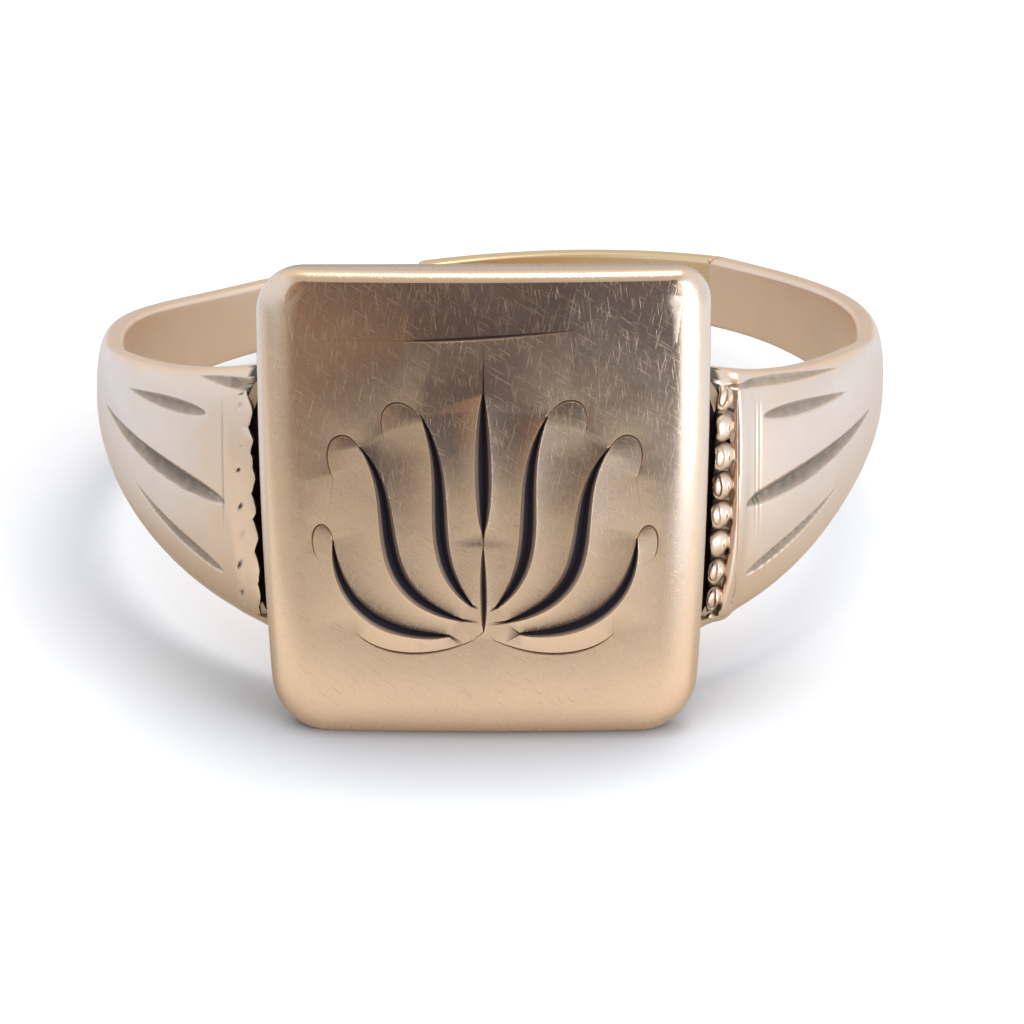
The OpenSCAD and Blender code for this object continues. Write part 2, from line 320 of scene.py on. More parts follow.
def node_group(name, inputs, outputs):
    """An empty shader group with the given sockets. Returns it with its two ends."""
    group = bpy.data.node_groups.new(name, "ShaderNodeTree")
    for label, kind, value in inputs:
        socket = group.interface.new_socket(label, in_out="INPUT", socket_type=kind)
        if value is not None:
            socket.default_value = value
    for label, kind in outputs:
        group.interface.new_socket(label, in_out="OUTPUT", socket_type=kind)
    return group, group.nodes.new("NodeGroupInput"), group.nodes.new("NodeGroupOutput")


def put(tree, kind, **values):
    """Adds a node: socket values by name, and settings whose names start with set_."""
    node = tree.nodes.new(kind)
    for key, value in values.items():
        if key.startswith("set_"):
            setattr(node, key[4:], value)
        else:
            node.inputs[key.replace("_", " ")].default_value = value
    return node


def maths(tree, operation, a, b=None, clamp=False):
    """A Math node on two values, each a number or a socket. Returns its output."""
    node = tree.nodes.new("ShaderNodeMath")
    node.operation, node.use_clamp = operation, clamp
    for socket, value in zip(node.inputs, (a, b)):
        if isinstance(value, bpy.types.NodeSocket):
            tree.links.new(value, socket)
        elif value is not None:
            socket.default_value = value
    return node.outputs[0]


def make_scratches():
    """Hairline scratches that run mostly along the finger, as a height and a mask."""
    group, start, end = node_group(
        "fine_scratches",
        [("Vector", "NodeSocketVector", None), ("Amount", "NodeSocketFloat", 0.5)],
        [("Height", "NodeSocketFloat"), ("Mask", "NodeSocketFloat")])
    total = None
    for k, (lean, thick, long) in enumerate(((7, 42, 1.8), (-13, 34, 1.5), (58, 36, 1.3))):
        place = put(group, "ShaderNodeMapping", Rotation=(0.1 * k, math.radians(lean), 0),
                    Location=(0.0031 * k, 0.0017 * k, 0.0053 * k))
        stretch = put(group, "ShaderNodeMapping",
                      Scale=(thick * 1000, thick * 250, long * 1000))
        streak = put(group, "ShaderNodeTexNoise", Scale=1.0, Detail=1.5, Roughness=0.5)
        group.links.new(start.outputs["Vector"], place.inputs["Vector"])
        group.links.new(place.outputs[0], stretch.inputs["Vector"])
        group.links.new(stretch.outputs[0], streak.inputs["Vector"])
        line = maths(group, "SUBTRACT", streak.outputs["Fac"], 0.63)
        line = maths(group, "MULTIPLY", line, 8.0, clamp=True)
        total = line if total is None else maths(group, "MAXIMUM", total, line)
    mask = maths(group, "MULTIPLY", total, start.outputs["Amount"])
    group.links.new(mask, end.inputs["Mask"])
    group.links.new(maths(group, "MULTIPLY", mask, -1.0), end.inputs["Height"])
    return group


def make_tarnish_and_shade():
    """Cloudy film on old gold: mixes a clean and a dulled colour, then darkens it by the recess
    mask towards a colour that stands for grime and painted shade.
    """
    group, start, end = node_group(
        "gold_tarnish",
        [("Vector", "NodeSocketVector", None), ("Clean", "NodeSocketColor", None),
         ("Dull", "NodeSocketColor", None), ("Dirt", "NodeSocketColor", None),
         ("Size", "NodeSocketFloat", 900.0), ("Amount", "NodeSocketFloat", 0.5),
         ("Recess", "NodeSocketFloat", 0.0)],
        [("Color", "NodeSocketColor"), ("Cloud", "NodeSocketFloat")])
    cloud = put(group, "ShaderNodeTexNoise", Detail=6.0, Roughness=0.62, Distortion=0.4)
    group.links.new(start.outputs["Vector"], cloud.inputs["Vector"])
    group.links.new(start.outputs["Size"], cloud.inputs["Scale"])
    level = maths(group, "SUBTRACT", cloud.outputs["Fac"], 0.25)
    level = maths(group, "MULTIPLY", level, 2.0, clamp=True)
    amount = maths(group, "MULTIPLY", level, start.outputs["Amount"])
    film = put(group, "ShaderNodeMix", set_data_type="RGBA")
    group.links.new(amount, film.inputs[0])
    group.links.new(start.outputs["Clean"], film.inputs[6])
    group.links.new(start.outputs["Dull"], film.inputs[7])
    # Painted shade with some grime: the recess mask darkens the colour in hollows and gaps
    soil_and_shade = put(group, "ShaderNodeMix", set_data_type="RGBA")
    group.links.new(start.outputs["Recess"], soil_and_shade.inputs[0])
    group.links.new(film.outputs[2], soil_and_shade.inputs[6])
    group.links.new(start.outputs["Dirt"], soil_and_shade.inputs[7])
    group.links.new(soil_and_shade.outputs[2], end.inputs["Color"])
    group.links.new(level, end.inputs["Cloud"])
    return group


fine_scratches = make_scratches()
gold_tarnish = make_tarnish_and_shade()


def worn_gold(name, clean, dull, dirt_and_shade, roughness, tarnish=0.5, cloud_size=700.0,
              scratch=0.5, scratch_depth=0.0016, ripple=0.010, dirt_and_shade_strength=0.8):
    """Worn gold: tarnish clouds, grime and painted shade in its recesses, and hairline
    scratches.
    """
    material = bpy.data.materials.new(name)
    material.use_nodes = True
    tree = material.node_tree
    tree.nodes.clear()
    out = tree.nodes.new("ShaderNodeOutputMaterial")
    shader = put(tree, "ShaderNodeBsdfPrincipled", Metallic=1.0)
    tree.links.new(shader.outputs[0], out.inputs[0])
    place = tree.nodes.new("ShaderNodeTexCoord").outputs["Object"]
    # The recess mask darkens the base colour: painted shade in hollows and gaps, with some grime
    recess = put(tree, "ShaderNodeAttribute", set_attribute_name="recess").outputs["Fac"]
    soil_and_shade = maths(tree, "MULTIPLY", recess, dirt_and_shade_strength, clamp=True)

    film = put(tree, "ShaderNodeGroup", set_node_tree=gold_tarnish)
    film.inputs["Clean"].default_value = (*clean, 1)
    film.inputs["Dull"].default_value = (*dull, 1)
    film.inputs["Dirt"].default_value = (*dirt_and_shade, 1)
    film.inputs["Size"].default_value = cloud_size
    film.inputs["Amount"].default_value = tarnish
    tree.links.new(place, film.inputs["Vector"])
    tree.links.new(soil_and_shade, film.inputs["Recess"])
    tree.links.new(film.outputs["Color"], shader.inputs["Base Color"])

    lines = put(tree, "ShaderNodeGroup", set_node_tree=fine_scratches)
    lines.inputs["Amount"].default_value = scratch
    tree.links.new(place, lines.inputs["Vector"])

    rough_cloud = maths(tree, "MULTIPLY", film.outputs["Cloud"], 0.06)
    rough_value = maths(tree, "ADD", rough_cloud, roughness)
    rough_line = maths(tree, "MULTIPLY", lines.outputs["Mask"], 0.10)
    rough_value = maths(tree, "ADD", rough_value, rough_line)
    rough_soil = maths(tree, "MULTIPLY", soil_and_shade, 0.45)
    rough_value = maths(tree, "ADD", rough_value, rough_soil, clamp=True)
    tree.links.new(rough_value, shader.inputs["Roughness"])

    swell = put(tree, "ShaderNodeTexNoise", Scale=1600.0, Detail=3.0, Roughness=0.55)
    tree.links.new(place, swell.inputs["Vector"])
    soft = put(tree, "ShaderNodeBump", Strength=1.0, Distance=ripple * MM)
    tree.links.new(swell.outputs["Fac"], soft.inputs["Height"])
    sharp = put(tree, "ShaderNodeBump", Strength=1.0, Distance=scratch_depth * MM)
    tree.links.new(lines.outputs["Height"], sharp.inputs["Height"])
    tree.links.new(soft.outputs[0], sharp.inputs["Normal"])
    tree.links.new(sharp.outputs[0], shader.inputs["Normal"])
    return material


# The dark recess colour of each gold below stands for painted shade as well as grime
shank_gold = worn_gold("shank_rose_gold", clean=(0.84, 0.62, 0.45), dull=(0.76, 0.54, 0.38),
                       dirt_and_shade=(0.15, 0.14, 0.11), roughness=0.31, dirt_and_shade_strength=1.0)
for arm, node in ((right_arm, "right_arm"), (left_arm, "left_arm")):
    arm.data.materials.append(shank_gold)
    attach(arm, "root")
    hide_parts(node)


# ------------------------------------------------------------ the signet plate
# A slab of rose gold rolled flat and filed to a rounded square. Wear has
# rounded its face into its sides. A sprig of leaves is cut into it by hand.
seat_wall = 0.55
plate_back = bore_r + seat_wall
plate_w, plate_h, plate_t, plate_lift = 10.98, 11.81, 1.3, 0.275
top_right_corner, top_left_corner, bottom_corner = 0.9, 1.15, 1.4
narrowing = 0.073
plate_turn, plate_shift, plate_lean = 0.45, 0.03, 0.005
face_radius, face_step = 66.0, 0.125
back_edge = [(0.14, -plate_back), (0.04, -plate_back - 0.03), (0.0, -plate_back - 0.12)]


def plate_taper(z):
    """The plate narrows gently towards its bottom edge."""
    share = np.clip(0.5 - z / plate_h, 0, 1)
    return 1 - narrowing * share ** 2.4


def plate_outline():
    """Points round the plate about its own middle, with their outward normals."""
    corners = ((1, 1, top_right_corner, 0), (-1, 1, top_left_corner, 90),
               (-1, -1, bottom_corner, 180), (1, -1, bottom_corner, 270))
    points, normals = [], []
    for k, (sx, sz, r, turn) in enumerate(corners):
        cx, cz = sx * (plate_w / 2 - r), sz * (plate_h / 2 - r)
        for t in np.linspace(0, 90, 15):
            a = math.radians(turn + t)
            points.append((cx + r * math.cos(a), cz + r * math.sin(a)))
            normals.append((math.cos(a), math.sin(a)))
        nx, nz, nr, _ = corners[(k + 1) % 4]
        end = Vector((nx * (plate_w / 2 - nr), nz * (plate_h / 2 - nr)))
        side = Vector(normals[-1])
        end = end + side * nr
        begin = Vector(points[-1])
        for t in np.linspace(0, 1, 56)[1:-1]:
            points.append(tuple(begin.lerp(end, t)))
            normals.append(tuple(side))
    points, normals = np.array(points), np.array(normals)
    points[:, 0] *= plate_taper(points[:, 1])
    return points, normals


def face_y(x, z):
    """Front surface of the plate: a very shallow dome."""
    return -(plate_back + plate_t) + (x ** 2 + z ** 2) / (2 * face_radius)


# Graver strokes: four points of a curve, then a width and a depth, in mm from
# the foot of the sprig. Those of the right half are mirrored to the left.
sprig_h = 6.2
leaf_strokes = [((0.31, 0.74), (1.67, 2.11), (0.62, 3.72), (1.55, 5.58), 0.41, 0.20),
                ((0.56, 0.37), (3.22, 1.18), (1.80, 3.22), (3.04, 4.77), 0.43, 0.21),
                ((0.87, 0.06), (2.60, 0.00), (3.66, 0.87), (3.72, 2.48), 0.36, 0.17)]
hairlines = [((1.56, 5.58), (1.95, 6.25), (2.75, 6.05), (2.45, 5.10), 0.075, 0.04),
             ((3.05, 4.77), (3.45, 5.45), (4.15, 4.95), (3.70, 4.00), 0.075, 0.04),
             ((3.73, 2.48), (3.95, 3.15), (4.45, 2.65), (4.12, 1.95), 0.065, 0.035),
             ((0.25, -0.10), (1.55, -0.75), (2.75, -0.45), (3.15, 0.05), 0.07, 0.04)]
middle_strokes = [((0, 0.12), (0.02, 0.9), (-0.02, 1.6), (0, 2.36), 0.17, 0.08),
                  ((0, 2.67), (0.03, 3.9), (-0.03, 5.0), (0.01, 6.2), 0.42, 0.21)]
long_scratch = ((-1.90, 7.46), (-0.6, 7.48), (0.9, 7.60), (2.15, 7.70), 0.12, 0.06)


def sprig_strokes():
    """All strokes as lines of points, the left half cut by a less steady hand."""
    strokes = middle_strokes + leaf_strokes + hairlines + [long_scratch]
    for *curve, w, deep in leaf_strokes + hairlines:
        drift = 0.05 * math.sin(7 * curve[3][1])
        strokes.append((*[(0.02 - x * 0.985, z + drift) for x, z in curve], w * 0.95, deep))
    out = []
    t = np.linspace(0, 1, 33)[:, None]
    for *curve, w, deep in strokes:
        a, b, c, d = (np.array(p) - (0, sprig_h / 2 + 0.1) for p in curve)
        line = (a * (1 - t) ** 3 + 3 * b * t * (1 - t) ** 2
                + 3 * c * t * t * (1 - t) + d * t ** 3)
        out.append((line, w, deep))
    return out


def stroke_width(t, w):
    """A cut swells from a point and tapers off again."""
    return w / 2 * np.sin(np.pi * np.clip(t, 0.012, 0.988) ** 0.8) ** 0.65


def stroke_rows(line, w, lip=0.045):
    """Lines beside a stroke: outside its lip, its edge, its flank and its keel."""
    t = np.linspace(0, 1, len(line))
    run = np.gradient(line, axis=0)
    side = np.stack([-run[:, 1], run[:, 0]], 1)
    side /= np.linalg.norm(side, axis=1)[:, None]
    half = stroke_width(t, w)[:, None]
    share = min(1.0, w / 0.2)
    return [line + side * (half * k + math.copysign(lip * share, k) * outer)
            for k, outer in ((-1, 1), (-1, 0), (-0.5, 0), (0, 0), (0.5, 0), (1, 0), (1, 1))
            if k or not outer]


def stroke_depth(x, z, strokes):
    """Depth of the engraving at each point, and the raised lip beside it."""
    cut, lip = np.zeros_like(x), np.zeros_like(x)
    for line, w, deep in strokes:
        near = ((x > line[:, 0].min() - 0.4) & (x < line[:, 0].max() + 0.4)
                & (z > line[:, 1].min() - 0.4) & (z < line[:, 1].max() + 0.4))
        if not near.any():
            continue
        p = np.stack([x[near], z[near]], 1)[:, None, :]
        a, b = line[:-1][None], line[1:][None]
        ab = b - a
        s = np.clip(((p - a) * ab).sum(2) / (ab ** 2).sum(2), 0, 1)
        gap = np.linalg.norm(p - a - ab * s[..., None], axis=2)
        best = gap.argmin(1)
        rows = np.arange(len(best))
        d = gap[rows, best]
        t = (best + s[rows, best]) / (len(line) - 1)
        half = stroke_width(t, w)
        share = np.clip(1 - d / half, 0, 1)
        cut[near] = np.maximum(cut[near], deep * share ** 0.8 * (half / (w / 2)) ** 0.6)
        rim = np.exp(-((d - half - 0.012) / 0.022) ** 2) * (t > 0.02) * (t < 0.98)
        lip[near] = np.maximum(lip[near], 0.018 * rim * min(1, w / 0.2))
    return cut, lip


def plate_skin(outline, normals):
    """Rings of points up the plate's side and over its rounding to the face."""
    nx, nz = normals[:, 0], normals[:, 1]
    # Width and depth of the worn rounding: broad at the sides, tight at the top
    wide = 0.95 * nx ** 2 + np.where(nz > 0, 0.21, 0.85) * nz ** 2
    deep = 0.62 * nx ** 2 + np.where(nz > 0, 0.30, 0.60) * nz ** 2
    # The rounding meets the face in a crease along the top, and flows in elsewhere
    full = np.radians(90 - 24 * np.clip(nz, 0, 1) ** 2)
    rings = []
    for inset, y in back_edge:
        p = outline - normals * inset
        rings.append(np.stack([p[:, 0], np.full(len(p), y), p[:, 1]], 1))
    for share in np.linspace(0, 1, 15):
        t = full * share
        p = outline - normals * (wide * (1 - np.cos(t)) / (1 - np.cos(full)))[:, None]
        y = face_y(p[:, 0], p[:, 1]) + deep * (1 - np.sin(t) / np.sin(full))
        rings.append(np.stack([p[:, 0], y, p[:, 1]], 1))
    return np.array(rings)


def inside_outline(x, z, ring, margin):
    """True for points that lie inside a convex ring of points by a margin."""
    inside = np.ones_like(x, dtype=bool)
    for a, b in zip(ring, np.roll(ring, -1, axis=0)):
        run = b - a
        length = math.hypot(*run)
        if length < 1e-9:
            continue
        off = (run[0] * (z - a[1]) - run[1] * (x - a[0])) / length
        inside &= off > margin
    return inside


def face_layout(rim, strokes):
    """Triangles over the face that keep to its rim and to the engraved strokes."""
    points = [tuple(p) for p in rim]
    edges = [(i, (i + 1) % len(rim)) for i in range(len(rim))]
    for line, w, _ in strokes:
        for row in stroke_rows(line, w):
            first = len(points)
            points += [tuple(p) for p in row]
            edges += [(first + i, first + i + 1) for i in range(len(row) - 1)]
    reach_x, reach_z = rim[:, 0].max() - 0.08, rim[:, 1].max() - 0.08
    x, z = np.meshgrid(np.arange(-reach_x, reach_x, face_step),
                       np.arange(-reach_z, reach_z, face_step))
    x, z = x.ravel(), z.ravel()
    keep = inside_outline(x, z, rim, 0.06)
    points += list(zip(x[keep].tolist(), z[keep].tolist()))
    made = delaunay_2d_cdt([Vector(p) for p in points], edges, [], 1, 1e-5, True)
    return np.array([tuple(v) for v in made[0]]), made[2], made[3]


def settle_plate(co):
    """Dents the plate a little, and sets it slightly crooked on its seat."""
    co[:, 1] += 0.006 * rough(co, 2.2, 9) + 0.003 * rough(co, 0.8, 11)
    turn = math.radians(plate_turn)
    co[:, [0, 2]] = np.stack([co[:, 0] * math.cos(turn) - co[:, 2] * math.sin(turn),
                              co[:, 0] * math.sin(turn) + co[:, 2] * math.cos(turn)], 1)
    co[:, 0] += plate_shift + plate_lean * co[:, 2]
    co[:, 2] += plate_lift


def make_plate():
    """The plate: a skin from its back to its face, closed by the engraved face."""
    outline, normals = plate_outline()
    count = len(outline)
    skin = plate_skin(outline, normals)
    strokes = sprig_strokes()
    flat, tris, origin = face_layout(skin[-1][:, [0, 2]], strokes)
    x, z = flat[:, 0], flat[:, 1]
    cut, lip = stroke_depth(x, z, strokes)
    y = face_y(x, z) + cut - lip
    # Vertices on the rim of the face are the last ring of the skin
    verts = skin.reshape(-1, 3).tolist()
    last_ring = (len(skin) - 1) * count
    index = []
    for v in range(len(flat)):
        rim = [o for o in origin[v] if o < count]
        if rim:
            index.append(last_ring + rim[0])
        else:
            index.append(len(verts))
            verts.append((x[v], y[v], z[v]))
    faces = [tuple(index[i] for i in f) for f in tris] + band_faces(len(skin), count)
    faces.append(tuple(range(count)))
    recess = np.zeros(len(verts))
    # The cuts are darkened inside: painted shade, with the oxide and grime they hold
    shade = ease(cut / 0.05)
    for v in range(len(flat)):
        if index[v] >= len(skin) * count:
            recess[index[v]] = shade[v]
    co = np.array(verts)
    settle_plate(co)
    mesh = bpy.data.meshes.new("signet_plate_engraved")
    mesh.from_pydata((co * MM).tolist(), [], faces)
    return finish_mesh("signet_plate_engraved", mesh, {"recess": recess}, crease=25)


plate = make_plate()
plate_gold = worn_gold("plate_rose_gold", clean=(0.82, 0.59, 0.41), dull=(0.74, 0.53, 0.38),
                       dirt_and_shade=(0.06, 0.05, 0.065), roughness=0.22, tarnish=0.45,
                       cloud_size=500.0, scratch=0.7, scratch_depth=0.0016, ripple=0.004,
                       dirt_and_shade_strength=1.0)
plate.data.materials.append(plate_gold)
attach(plate, "root")
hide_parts("signet_plate")


# ------------------------------------------------------------ the beaded strips
# Milled wires of round beads, laid in the notch between each shoulder and the
# plate. The right one is still crisp, and the left one is rubbed nearly flat.
bead_pitch, flat_pitch = 0.735, 0.79
strip_foot = notch_floor + seam


def shoulder_front(x, z):
    """Height of the plain shoulder over the strip, as if it ran on to the plate."""
    r = np.full_like(x, bore_r + shoulder_wall)
    for _ in range(4):
        a = 180 - np.degrees(np.arcsin(x / r))
        u = np.clip((z - arm_mid(a, 0, 0)) / arm_half(a), -1, 1)
        r = crown(arm_wall(a), u)
    return np.sqrt(r ** 2 - x ** 2)


def bead_relief(x, z, inner, outer, seed):
    """Crisp milled beads between two lines: their height, and the painted shade and grime round
    them.
    """
    cell = (z - strip_high + 0.08) / bead_pitch
    number = np.floor(cell)
    across = cell - number - 0.5
    middle, reach = (inner + outer) / 2, (outer - inner) / 2
    along = (x - middle) / (reach * (1.12 + 0.10 * np.sin(number * 2.4 + seed)))
    dome = np.sqrt(np.clip(1 - (across / 0.49) ** 2 - 0.80 * along ** 2, 0, 1))
    zone = ease((x - inner) / 0.03 + 0.5) * ease((outer - x) / 0.05 + 0.5)
    # A cut of the milling tool leaves a hooked groove over each bead
    ring = ((x - inner - 0.16) / 0.10) ** 2 + ((across - 0.06) / 0.33) ** 2
    hook = np.exp(-((ring - 1) / 0.30) ** 2) * (0.5 + 0.5 * np.sin(number * 1.7 + seed))
    # Its other edge nicked the ridge, and threw up a small bright burr
    nick = np.exp(-((x - outer + 0.02) / 0.05) ** 2 - ((across + 0.30) / 0.13) ** 2)
    burr = np.exp(-((x - outer + 0.08) / 0.045) ** 2 - ((across + 0.02) / 0.15) ** 2)
    height = (-0.16 + 0.28 * dome - 0.05 * hook) * zone - 0.12 * nick + 0.06 * burr
    # Painted shade with some grime: dark between the beads and more so towards the plate, in the
    # hooked grooves, and in the nicks
    share = np.clip((outer - x) / (outer - inner), 0, 1)
    dirt_and_shade = zone * (1 - dome) ** 1.3 * (0.35 + 0.75 * share) + 0.45 * hook * zone + 0.9 * nick
    return height, dirt_and_shade


def rubbed_relief(x, z, inner):
    """A strip rubbed nearly flat: only a few nicks of the old beads are left."""
    cell = (z + 3.2) / flat_pitch
    number = np.floor(cell)
    off_z = cell - number - 0.5 - 0.16 * np.sin(number * 3.3)
    off_x = x - 5.97 - 0.05 * np.sin(number * 2.1) + 0.22 * off_z
    nick = np.exp(-(off_x / 0.04) ** 2 - (off_z / (0.10 + 0.04 * np.sin(number))) ** 2)
    nick = nick * (0.25 + 0.75 * (np.sin(number * 1.9 + 0.6) > -0.3)) * (z < 2.2)
    # The nicks are darkened: painted shade with some grime
    return -0.07 * nick - 0.05 * np.exp(-(x - inner) / 0.10), 0.8 * nick


def slot_side(z, crisp, seed):
    """The strip's ragged edge along the slot beside the plate."""
    saw = np.abs(((z * 1.25 + 0.13 * np.sin(z * 3.1 + seed)) % 1) - 0.5) * 2
    notch = 0.10 * saw ** 1.5 + 0.05 * rough(np.stack([z * 0, z, z * 0], -1), 0.3, seed)
    notch = notch * (0.4 if crisp else 1.0)
    return mix(5.42, 5.66, np.clip((z + 3) / 5.7, 0, 1)) + notch


def make_beading(name, sign, flutes, high, crisp, arm_seed, seed):
    """A strip whose outer edge runs on smoothly from the shoulder."""
    xs = np.linspace(arm_x, strip_x, 96)
    s = np.linspace(0, 1, 520)
    x, z = np.meshgrid(xs, mix(strip_low, strip_high, s))
    plain = shoulder_front(x, z)
    cut = flute_relief(180 - np.degrees(np.arctan2(x, plain)), z, flutes)
    radius = np.hypot(x, plain) + wear_marks(x, -plain, z, arm_seed) + ridge(x, z, high) - cut
    front = np.sqrt(radius ** 2 - x ** 2)
    inner = slot_side(z, crisp, seed)
    if crisp:
        height, dirt_and_shade = bead_relief(x, z, inner, ridge_line(z) - 0.19, seed)
    else:
        height, dirt_and_shade = rubbed_relief(x, z, inner)
    edge = ease((x - inner) / 0.05)
    front = mix(np.minimum(strip_foot + 0.05, plain - 0.25), front + height, edge)
    # Darker in the slot beside the plate, round the beads and in the flutes: painted shade with
    # some grime
    recess = np.clip(1 - edge + dirt_and_shade + 0.55 * ease(cut / 0.03), 0, 1)
    front[:, -1] -= 0.006
    outer_foot = np.minimum(strip_foot, front[:, -1] - 0.03)
    rows = []
    for j in range(len(s)):
        skin = [(x[j, i], -front[j, i], z[j, i]) for i in range(len(xs))]
        rows.append(skin + [(xs[-1], -outer_foot[j], z[j, -1]), (xs[0], -strip_foot, z[j, 0])])
    loops = np.array(rows)
    loops[..., 0] *= sign
    masks = np.concatenate([recess, np.zeros((len(s), 2))], 1)
    return closed_mesh(name, loops, {"recess": masks})


beading_gold = worn_gold("beading_rose_gold", clean=(0.84, 0.63, 0.46), dull=(0.74, 0.54, 0.39),
                         dirt_and_shade=(0.03, 0.022, 0.022), roughness=0.28, dirt_and_shade_strength=1.0)
for name, sign, flutes, high, crisp, arm_seed, seed in (
        ("right_beading", 1, right_flutes, right_ridge, True, 1, 21),
        ("left_beading", -1, left_flutes, left_ridge, False, 5, 27)):
    beading = make_beading(name + "_milled", sign, flutes, high, crisp, arm_seed, seed)
    beading.data.materials.append(beading_gold)
    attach(beading, "root")
    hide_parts(name)


# ---------------------------------------------------------------- the plate seat
# The bridge of rose gold that closes the bore under the plate and carries it.
# Its edges are broken by filing. It is matte inside from the finger.
seat_low, seat_high = (np.array(c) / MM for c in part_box("plate_seat"))
seat_soft = 0.08


def make_seat():
    """The bridge, flat against the plate and hollowed to the bore."""
    xs = np.linspace(seat_low[0], seat_high[0], 60)
    soft = seat_soft
    turn = np.linspace(0, np.pi / 2, 5)
    low, high = seat_low[2], seat_high[2]
    front = seat_low[1]
    rows = []
    for x in xs:
        wall = -math.sqrt(bore_r ** 2 - x ** 2)
        row = [(x, front, z) for z in np.linspace(low, high, 9)]
        row += [(x, mix(front, wall, s), high) for s in (0.3, 0.6)]
        row += [(x, wall - soft * (1 - math.sin(t)), high - soft * (1 - math.cos(t)))
                for t in turn]
        row += [(x, wall, z) for z in np.linspace(high - soft, low + soft, 9)[1:-1]]
        row += [(x, wall - soft * (1 - math.cos(t)), low + soft * (1 - math.sin(t)))
                for t in turn]
        row += [(x, mix(front, wall, s), low) for s in (0.6, 0.3)]
        rows.append(row)
    return closed_mesh("plate_seat_filed", np.array(rows))


seat = make_seat()
seat.data.materials.append(
    worn_gold("seat_rose_gold", clean=(0.82, 0.58, 0.40), dull=(0.72, 0.49, 0.33),
              dirt_and_shade=(0.10, 0.06, 0.04), roughness=0.42, scratch=0.6))
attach(seat, "root")
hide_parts("plate_seat")


# -------------------------------------------------------------- the let-in piece
# A strip of yellower gold that enlarges the ring: soldered to the right arm,
# while its joint with the left arm has parted. It was never worn down to match.
insert_free_w, insert_free_mid = 1.3, -0.04


def make_insert():
    """The let-in piece, narrower at its free end."""
    ends = -insert_left + np.array([0, 0.25]), insert_right - np.array([0.1, 0])
    angles = np.concatenate([ends[0], np.linspace(0.6 - insert_left, insert_right - 0.3, 90),
                             ends[1]])
    share = (angles + insert_left) / (insert_left + insert_right)
    half = mix(insert_free_w / 2, arm_half(np.array(float(insert_right))), share)
    mid = mix(insert_free_mid, right_spring, share)
    half[0] -= 0.04

    def relief(a, z, r):
        points = np.stack([r * np.sin(np.radians(a)), r * np.cos(np.radians(a)), z], -1)
        return r + 0.012 * rough(points, 1.6, 31), np.zeros_like(z)

    loops, masks = shank_loops(angles, half, mid, arm_wall(np.abs(angles)), 60, relief)
    return closed_mesh("shank_insert_yellow", loops, {"recess": masks})


insert = make_insert()
insert.data.materials.append(
    worn_gold("insert_yellow_gold", clean=(0.77, 0.57, 0.33), dull=(0.68, 0.47, 0.25),
              dirt_and_shade=(0.08, 0.05, 0.02), roughness=0.30, scratch=0.5))
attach(insert, "root")
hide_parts("shank_insert")


# ------------------------------------------------------------- the solder joints
# Thin films of paler hard solder between the pieces, with a fillet where the
# seat meets the back of the plate. All but those under the worn strips keep
# their CAD shapes.
solder = worn_gold("gold_solder", clean=(0.80, 0.66, 0.46), dull=(0.62, 0.48, 0.32),
                   dirt_and_shade=(0.08, 0.06, 0.04), roughness=0.45, tarnish=0.7)


def make_strip_solder(name, sign):
    """The film under a beaded strip, no wider than the worn strip covers."""
    z = np.linspace(strip_low, strip_high, 60)
    reach = np.full_like(z, arm_x + 0.01)
    for x in np.linspace(arm_x, strip_x, 80):
        hidden = shoulder_front(np.full_like(z, x), z) > strip_foot + 0.06
        reach = np.where(hidden, np.maximum(reach, x), reach)
    rows = [[(sign * x, -y, h) for x, y in ((arm_x, notch_floor), (far, notch_floor),
                                            (far, strip_foot), (arm_x, strip_foot))]
            for far, h in zip(reach, z)]
    return closed_mesh(name, np.array(rows))


for name, sign in (("right_beading_solder", 1), ("left_beading_solder", -1)):
    film = make_strip_solder(name + "_film", sign)
    film.data.materials.append(solder)
    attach(film, "root")
    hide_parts(name)
for node in ("plate_solder", "right_seat_solder", "left_seat_solder", "insert_solder"):
    part = frame["nodes"][node]
    for place in part.material_slots:
        place.material = solder


# --------------------------------------------------------------------- the stage
# The ring lies as it was laid down: on the lower edge of its plate and the
# back of its shank, on a white table under broad soft lights.
lean = math.radians(10.7)
table_front, table_back, table_side = 160, 75, 420
foot = Vector((0, cad_low[1] + 0.3 * MM, cad_low[2]))


def graded(tree, value, low, high):
    """A smooth step of a socket from 0 at low to 1 at high."""
    step = put(tree, "ShaderNodeMapRange", set_interpolation_type="SMOOTHSTEP",
               From_Min=low, From_Max=high)
    tree.links.new(value, step.inputs["Value"])
    return step.outputs["Result"]


def blend(tree, share, a, b):
    """Mixes two colours, each a triple or a socket."""
    node = put(tree, "ShaderNodeMix", set_data_type="RGBA")
    tree.links.new(share, node.inputs[0])
    for socket, value in ((node.inputs[6], a), (node.inputs[7], b)):
        if isinstance(value, bpy.types.NodeSocket):
            tree.links.new(value, socket)
        else:
            socket.default_value = (*value, 1)
    return node.outputs[2]


